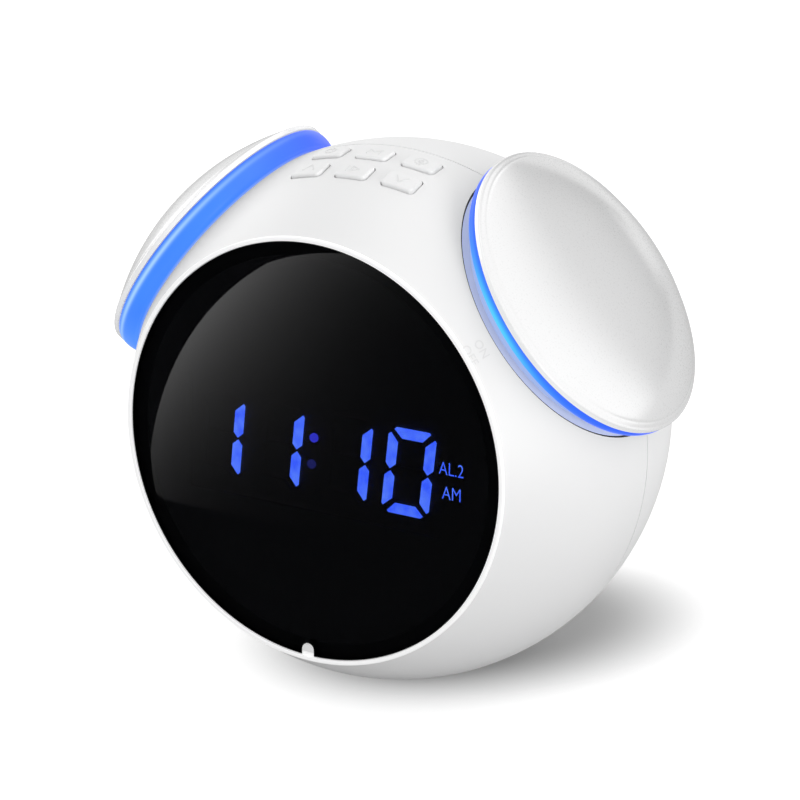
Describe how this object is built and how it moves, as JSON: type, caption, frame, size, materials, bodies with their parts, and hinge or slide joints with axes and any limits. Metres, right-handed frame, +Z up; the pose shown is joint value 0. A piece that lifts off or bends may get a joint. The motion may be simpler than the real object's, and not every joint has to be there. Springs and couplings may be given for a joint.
{
  "type": "radio alarm clock",
  "caption": "Ball-shaped radio alarm clock with a round black display lens, top keys and two domed ears with light rings: one is pressed, the other turns.",
  "frame": {"origin": "centre of the underside of the rubber base pad, on the surface the clock stands on", "axes": "+Z up, the display faces -Y, +X to the right of a reader in front of it"},
  "size_m": [0.1274, 0.099, 0.114],
  "materials": {
    "white_shell": "satin moulded plastic",
    "white_cap": "smooth satin plastic",
    "white_key": "fine matt plastic",
    "black_lens": "polished tinted acrylic",
    "blue_diffuser": "translucent, lit from inside",
    "pale_seat": "milky plastic, lit by the ring",
    "lit_blue": "lit bar",
    "dim_blue": "dim dot",
    "dark_bar": "unlit bar",
    "black_plastic": "black moulding",
    "plunger_grey": "matt",
    "hub_white": "moulded",
    "board_green": "coated board",
    "light_chip": "light emitting diode",
    "steel": "plated",
    "can_silver": "drawn can",
    "ferrite": "sintered",
    "cone_paper": "pressed paper",
    "rubber_black": "matt",
    "brass_strip": "stamped"
  },
  "bodies": {
    "case": {"aerial_strip": "brass_strip", "backup_cell": "steel", "base_pad": "rubber_black", "board_screws": "steel", "capacitors": "can_silver", "case_screws": "steel", "cell_contact": "brass_strip", "charge_socket": "steel", "colon_dots": "dim_blue", "dark_bars": "dark_bar", "display_board": "board_green", "display_frame": "black_plastic", "display_lens": "black_lens", "encoder_body": "black_plastic", "encoder_nut": "steel", "front_shell": "white_shell", "key_board": "board_green", "key_switches": "black_plastic", "led_module": "black_plastic", "left_ear_seat": "pale_seat", "left_light_board": "board_green", "left_lights": "light_chip", "lit_bars": "lit_blue", "main_board": "board_green", "power_inlet": "black_plastic", "processor_chip": "black_plastic", "radio_module": "steel", "rear_shell": "white_shell", "right_ear_seat": "pale_seat", "right_light_board": "board_green", "right_lights": "light_chip", "right_return_spring": "steel", "right_switch": "black_plastic", "speaker_frame": "steel", "speaker_magnet": "ferrite", "speaker_surround": "rubber_black"},
    "key_front_left": {"key_front_left": "white_key", "plunger_front_left": "plunger_grey"},
    "key_front_middle": {"key_front_middle": "white_key", "plunger_front_middle": "plunger_grey"},
    "key_front_right": {"key_front_right": "white_key", "plunger_front_right": "plunger_grey"},
    "key_rear_left": {"key_rear_left": "white_key", "plunger_rear_left": "plunger_grey"},
    "key_rear_middle": {"key_rear_middle": "white_key", "plunger_rear_middle": "plunger_grey"},
    "key_rear_right": {"key_rear_right": "white_key", "plunger_rear_right": "plunger_grey"},
    "right_ear": {"right_ear_cap": "white_cap", "right_light_ring": "blue_diffuser", "right_hub": "hub_white", "right_switch_plunger": "plunger_grey"},
    "left_ear": {"left_ear_cap": "white_cap", "left_light_ring": "blue_diffuser", "left_hub": "hub_white", "encoder_shaft": "steel"},
    "speaker_cone": {"speaker_cone": "cone_paper"},
    "battery_cover": {"battery_cover": "white_shell"}
  },
  "joints": [
    {"name": "press_front_left", "type": "slide", "parent": "case", "child": "key_front_left", "axis": [0, 0.1857, -0.9826], "range_m": [0, 0.0006], "stiffness_N_per_m": 1500, "springref_m": -0.0006},
    {"name": "press_front_middle", "type": "slide", "parent": "case", "child": "key_front_middle", "axis": [0, 0.1857, -0.9826], "range_m": [0, 0.0006], "stiffness_N_per_m": 1500, "springref_m": -0.0006},
    {"name": "press_front_right", "type": "slide", "parent": "case", "child": "key_front_right", "axis": [0, 0.1857, -0.9826], "range_m": [0, 0.0006], "stiffness_N_per_m": 1500, "springref_m": -0.0006},
    {"name": "press_rear_left", "type": "slide", "parent": "case", "child": "key_rear_left", "axis": [0, 0.1857, -0.9826], "range_m": [0, 0.0006], "stiffness_N_per_m": 1500, "springref_m": -0.0006},
    {"name": "press_rear_middle", "type": "slide", "parent": "case", "child": "key_rear_middle", "axis": [0, 0.1857, -0.9826], "range_m": [0, 0.0006], "stiffness_N_per_m": 1500, "springref_m": -0.0006},
    {"name": "press_rear_right", "type": "slide", "parent": "case", "child": "key_rear_right", "axis": [0, 0.1857, -0.9826], "range_m": [0, 0.0006], "stiffness_N_per_m": 1500, "springref_m": -0.0006},
    {"name": "press_right_ear", "type": "slide", "parent": "case", "child": "right_ear", "axis": [-0.8049, 0, -0.5934], "range_m": [0, 0.0015], "stiffness_N_per_m": 1200, "springref_m": -0.002, "deforming": ["right_return_spring"]},
    {"name": "turn_left_ear", "type": "hinge", "parent": "case", "child": "left_ear", "pos_m": [0, 0, 0.0554], "axis": [-0.8049, 0, 0.5934], "continuous": true},
    {"name": "speaker_stroke", "type": "slide", "parent": "case", "child": "speaker_cone", "axis": [0, 1, 0], "range_m": [-0.0005, 0.0005], "stiffness_N_per_m": 1500, "deforming": ["speaker_surround"]},
    {"name": "lift_battery_cover", "type": "slide", "parent": "case", "child": "battery_cover", "axis": [0, 0.6428, -0.766], "range_m": [0, 0.015]}
  ]
}
